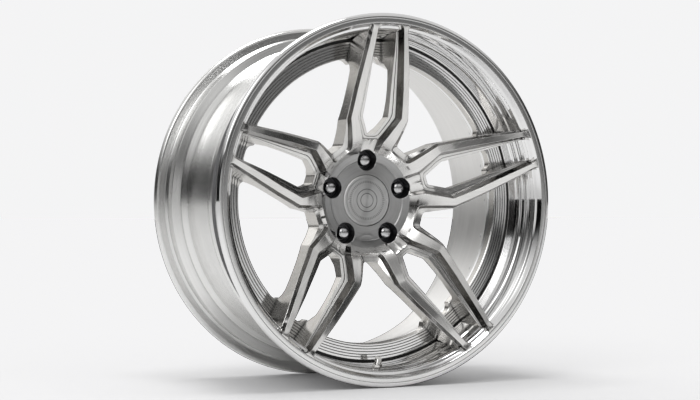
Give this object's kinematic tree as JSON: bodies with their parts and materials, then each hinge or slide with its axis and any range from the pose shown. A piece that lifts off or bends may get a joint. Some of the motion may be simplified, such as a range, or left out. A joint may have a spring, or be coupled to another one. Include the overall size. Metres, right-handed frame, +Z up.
{
  "type": "vehicle wheel rim",
  "caption": "Three-piece forged wheel rim with twin-arm spokes, deep stepped lip, brushed barrel, lug bolts, snap-in centre cap and short metal valve.",
  "frame": {"origin": "on the wheel's axis, halfway between the two flanges", "axes": "+Y along the axis from the street face to the mounting side, so the wheel turns about +Y; +Z up, with the valve at the bottom"},
  "size_m": [0.544, 0.26, 0.544],
  "materials": {
    "polished_lip": "polished, fine turned lines",
    "turned_barrel": "turned and brushed round the axis",
    "brushed_centre": "brushed along the arms, clear coated",
    "bolt_steel": "plain steel",
    "black_rubber": "matte black",
    "sealant": "smooth grey sealant",
    "dark_steel": "blackened",
    "lug_steel": "bright plated",
    "ring_plastic": "moulded",
    "cap_metal": "turned",
    "cap_plate": "brushed plate with turned rings",
    "screw_steel": "bright",
    "spring_steel": "drawn wire",
    "valve_metal": "nickel plated",
    "brass": "plain brass"
  },
  "bodies": {
    "rim": {"outer_half": "polished_lip", "inner_half": "turned_barrel", "centre_disc": "brushed_centre", "assembly_bolts": "bolt_steel", "face_seal": "black_rubber", "joint_seal": "sealant", "seat_inserts": "dark_steel", "hub_ring": "ring_plastic", "valve_stem": "valve_metal", "valve_grommet": "black_rubber", "valve_washer": "valve_metal", "valve_nut": "valve_metal", "valve_core": "brass"},
    "bolt_1": {"lug_bolt_1": "lug_steel"},
    "bolt_2": {"lug_bolt_2": "lug_steel"},
    "bolt_3": {"lug_bolt_3": "lug_steel"},
    "bolt_4": {"lug_bolt_4": "lug_steel"},
    "bolt_5": {"lug_bolt_5": "lug_steel"},
    "cap": {"centre_cap": "cap_metal", "cap_emblem": "cap_plate", "cap_screws": "screw_steel", "cap_ring": "spring_steel", "cap_gasket": "black_rubber"},
    "dust_cap": {"valve_cap": "valve_metal"},
    "pin": {"valve_pin": "screw_steel"}
  },
  "joints": [
    {"name": "bolt_1_out", "type": "slide", "parent": "rim", "child": "bolt_1", "axis": [0, -1, 0], "range_m": [0, 0.07]},
    {"name": "bolt_2_out", "type": "slide", "parent": "rim", "child": "bolt_2", "axis": [0, -1, 0], "range_m": [0, 0.07]},
    {"name": "bolt_3_out", "type": "slide", "parent": "rim", "child": "bolt_3", "axis": [0, -1, 0], "range_m": [0, 0.07]},
    {"name": "bolt_4_out", "type": "slide", "parent": "rim", "child": "bolt_4", "axis": [0, -1, 0], "range_m": [0, 0.07]},
    {"name": "bolt_5_out", "type": "slide", "parent": "rim", "child": "bolt_5", "axis": [0, -1, 0], "range_m": [0, 0.07]},
    {"name": "cap_out", "type": "slide", "parent": "rim", "child": "cap", "axis": [0, -1, 0], "range_m": [0, 0.03]},
    {"name": "dust_cap_off", "type": "slide", "parent": "rim", "child": "dust_cap", "axis": [0, -0.342, 0.9397], "range_m": [0, 0.012]},
    {"name": "valve_pin_press", "type": "slide", "parent": "rim", "child": "pin", "axis": [0, 0.342, -0.9397], "range_m": [0, 0.0015], "stiffness_N_per_m": 300, "springref_m": -0.0005}
  ]
}
